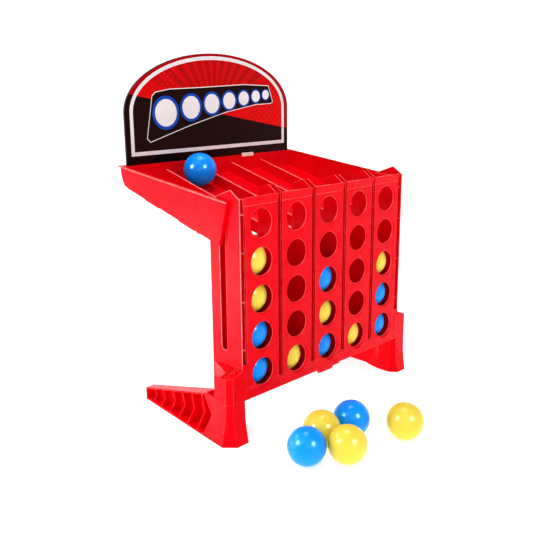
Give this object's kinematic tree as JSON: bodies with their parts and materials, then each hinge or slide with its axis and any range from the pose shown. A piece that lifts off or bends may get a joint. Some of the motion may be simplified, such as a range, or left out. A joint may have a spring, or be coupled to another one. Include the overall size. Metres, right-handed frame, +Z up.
{
  "type": "bouncing ball four-in-a-row game",
  "caption": "Upright table-top game: holed ball columns on two ribbed feet, with a sloping ball tray behind the top, an arched backboard, a release trapdoor and loose balls.",
  "frame": {"origin": "on the table under the middle of the bounding box of the whole set, loose balls included", "axes": "+X to the right seen from the players' side, +Y backwards towards the tray and backboard, +Z up"},
  "size_m": [0.3206, 0.3354, 0.4035],
  "materials": {
    "red_plastic": "glossy moulded polystyrene, saturated red",
    "board_print": "glossy printed sheet, red above and black below with a white border",
    "blue_plastic": "smooth semi-gloss hollow ball",
    "yellow_plastic": "smooth semi-gloss hollow ball"
  },
  "bodies": {
    "tower": {"front_panel": "red_plastic", "partition_1": "red_plastic", "partition_2": "red_plastic", "partition_3": "red_plastic", "partition_4": "red_plastic", "back_panel": "red_plastic", "side_wall_left": "red_plastic", "side_wall_right": "red_plastic", "socket_left": "red_plastic", "socket_right": "red_plastic", "foot_left": "red_plastic", "foot_right": "red_plastic", "tray_floor": "red_plastic", "tray_rear": "red_plastic", "tray_side_left": "red_plastic", "tray_side_right": "red_plastic", "lane_divider_1": "red_plastic", "lane_divider_2": "red_plastic", "lane_divider_3": "red_plastic", "lane_divider_4": "red_plastic"},
    "backboard": {"backboard": "board_print"},
    "release_door": {"release_door": "red_plastic"},
    "ball_c1_r5": {"ball_c1_r5": "blue_plastic"},
    "ball_c1_r4": {"ball_c1_r4": "blue_plastic"},
    "ball_c1_r3": {"ball_c1_r3": "yellow_plastic"},
    "ball_c1_r2": {"ball_c1_r2": "yellow_plastic"},
    "ball_c2_r5": {"ball_c2_r5": "yellow_plastic"},
    "ball_c3_r5": {"ball_c3_r5": "blue_plastic"},
    "ball_c3_r4": {"ball_c3_r4": "yellow_plastic"},
    "ball_c3_r3": {"ball_c3_r3": "blue_plastic"},
    "ball_c4_r5": {"ball_c4_r5": "yellow_plastic"},
    "ball_c5_r5": {"ball_c5_r5": "blue_plastic"},
    "ball_c5_r4": {"ball_c5_r4": "blue_plastic"},
    "ball_c5_r3": {"ball_c5_r3": "yellow_plastic"},
    "ball_tray": {"ball_tray": "blue_plastic"},
    "ball_table_1": {"ball_table_1": "yellow_plastic"},
    "ball_table_2": {"ball_table_2": "yellow_plastic"},
    "ball_table_3": {"ball_table_3": "blue_plastic"},
    "ball_table_4": {"ball_table_4": "blue_plastic"},
    "ball_table_5": {"ball_table_5": "yellow_plastic"}
  },
  "joints": [
    {"name": "a_release_door_hinge", "type": "hinge", "parent": "tower", "child": "release_door", "pos_m": [0, 0.01287, 0.0489], "axis": [1, 0, 0], "range_deg": [0, 80]},
    {"name": "backboard_lift", "type": "slide", "parent": "tower", "child": "backboard", "axis": [0, 0, 1], "range_m": [0, 0.03]},
    {"name": "ball_c1_r5_lift", "type": "slide", "parent": "tower", "child": "ball_c1_r5", "axis": [0, 0, 1], "range_m": [0, 0.22]},
    {"name": "ball_c1_r4_lift", "type": "slide", "parent": "ball_c1_r5", "child": "ball_c1_r4", "axis": [0, 0, 1], "range_m": [0, 0.025]},
    {"name": "ball_c1_r3_lift", "type": "slide", "parent": "ball_c1_r4", "child": "ball_c1_r3", "axis": [0, 0, 1], "range_m": [0, 0.025]},
    {"name": "ball_c1_r2_lift", "type": "slide", "parent": "ball_c1_r3", "child": "ball_c1_r2", "axis": [0, 0, 1], "range_m": [0, 0.025]},
    {"name": "ball_c2_r5_lift", "type": "slide", "parent": "tower", "child": "ball_c2_r5", "axis": [0, 0, 1], "range_m": [0, 0.22]},
    {"name": "ball_c3_r5_lift", "type": "slide", "parent": "tower", "child": "ball_c3_r5", "axis": [0, 0, 1], "range_m": [0, 0.22]},
    {"name": "ball_c3_r4_lift", "type": "slide", "parent": "ball_c3_r5", "child": "ball_c3_r4", "axis": [0, 0, 1], "range_m": [0, 0.025]},
    {"name": "ball_c3_r3_lift", "type": "slide", "parent": "ball_c3_r4", "child": "ball_c3_r3", "axis": [0, 0, 1], "range_m": [0, 0.025]},
    {"name": "ball_c4_r5_lift", "type": "slide", "parent": "tower", "child": "ball_c4_r5", "axis": [0, 0, 1], "range_m": [0, 0.22]},
    {"name": "ball_c5_r5_lift", "type": "slide", "parent": "tower", "child": "ball_c5_r5", "axis": [0, 0, 1], "range_m": [0, 0.22]},
    {"name": "ball_c5_r4_lift", "type": "slide", "parent": "ball_c5_r5", "child": "ball_c5_r4", "axis": [0, 0, 1], "range_m": [0, 0.025]},
    {"name": "ball_c5_r3_lift", "type": "slide", "parent": "ball_c5_r4", "child": "ball_c5_r3", "axis": [0, 0, 1], "range_m": [0, 0.025]},
    {"name": "ball_tray_lift", "type": "slide", "parent": "tower", "child": "ball_tray", "axis": [0, 0, 1], "range_m": [0, 0.08]},
    {"name": "ball_table_1_lift", "type": "slide", "parent": "tower", "child": "ball_table_1", "axis": [0, 0, 1], "range_m": [0, 0.06]},
    {"name": "ball_table_2_lift", "type": "slide", "parent": "tower", "child": "ball_table_2", "axis": [0, 0, 1], "range_m": [0, 0.06]},
    {"name": "ball_table_3_lift", "type": "slide", "parent": "tower", "child": "ball_table_3", "axis": [0, 0, 1], "range_m": [0, 0.06]},
    {"name": "ball_table_4_lift", "type": "slide", "parent": "tower", "child": "ball_table_4", "axis": [0, 0, 1], "range_m": [0, 0.06]},
    {"name": "ball_table_5_lift", "type": "slide", "parent": "tower", "child": "ball_table_5", "axis": [0, 0, 1], "range_m": [0, 0.06]}
  ]
}
